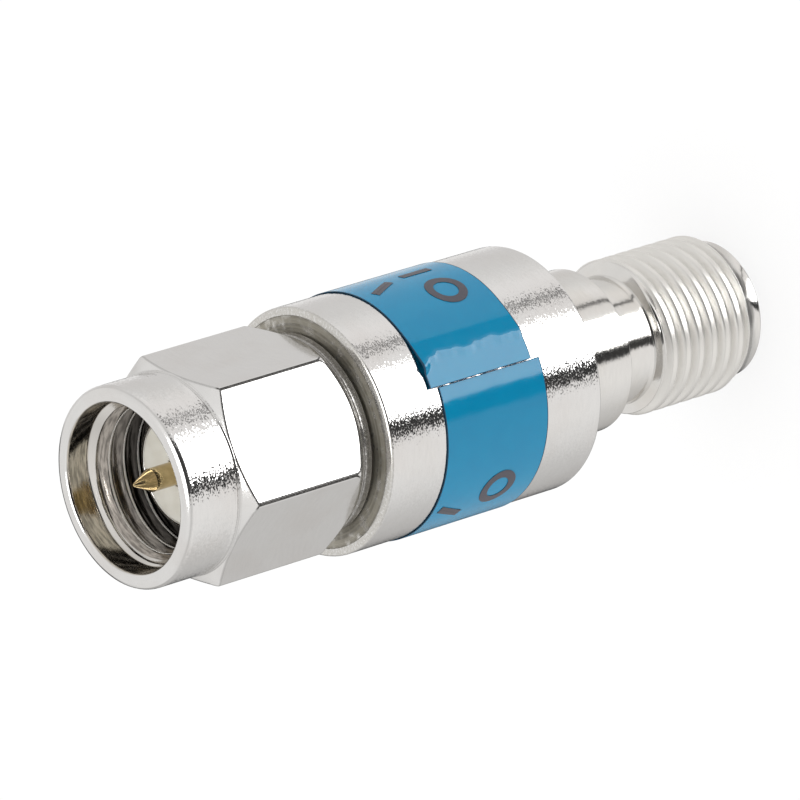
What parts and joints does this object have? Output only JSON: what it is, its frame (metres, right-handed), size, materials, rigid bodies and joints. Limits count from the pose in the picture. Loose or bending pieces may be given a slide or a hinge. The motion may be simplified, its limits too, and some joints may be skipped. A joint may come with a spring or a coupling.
{
  "type": "rf attenuator",
  "caption": "In-line coaxial attenuator: a turned metal body with a plug and a spinning hexagonal coupling nut at one end and a threaded jack at the other.",
  "frame": {"origin": "centre of the jack's end rim, the lowest point of the part", "axes": "+Z runs along the common axis from the jack to the plug; one flat of the coupling nut and the label's seam face -Y"},
  "size_m": [0.01, 0.01, 0.0304],
  "materials": {
    "nut_metal": "polished, fine turning lines",
    "head_metal": "turned, satin",
    "body_metal": "turned, satin with fine grain",
    "spring_metal": "satin",
    "ring_metal": "turned",
    "gold_plate": "gold plated, satin",
    "insulator": "waxy off-white fluoropolymer",
    "bead_plastic": "matte",
    "label_film": "glossy film",
    "label_ink": "printed",
    "block_metal": "machined",
    "chip_ceramic": "fired alumina",
    "resistor_ink": "fired film",
    "pad_metal": "fired silver"
  },
  "bodies": {
    "attenuator": {"plug_shell": "head_metal", "plug_dielectric": "insulator", "plug_pin": "gold_plate", "plug_bead": "bead_plastic", "plug_bead_ring": "ring_metal", "housing": "body_metal", "label_band": "label_film", "label_print": "label_ink", "carrier_upper": "block_metal", "carrier_lower": "block_metal", "attenuator_chip": "chip_ceramic", "resistor_film": "resistor_ink", "chip_terminals": "pad_metal", "contact_spring_plug": "gold_plate", "contact_spring_jack": "gold_plate", "carrier_spring": "spring_metal", "jack_shell": "head_metal", "jack_dielectric": "insulator", "jack_socket": "gold_plate", "jack_bead": "bead_plastic", "jack_bead_ring": "ring_metal"},
    "ring": {"nut_snap_ring": "spring_metal"},
    "nut": {"coupling_nut": "nut_metal"}
  },
  "joints": [
    {"name": "nut_float", "type": "slide", "parent": "attenuator", "child": "ring", "axis": [0, 0, 1], "range_m": [0, 0.0002]},
    {"name": "nut_spin", "type": "hinge", "parent": "ring", "child": "nut", "pos_m": [0, 0, 0.026], "axis": [0, 0, 1], "continuous": true}
  ]
}
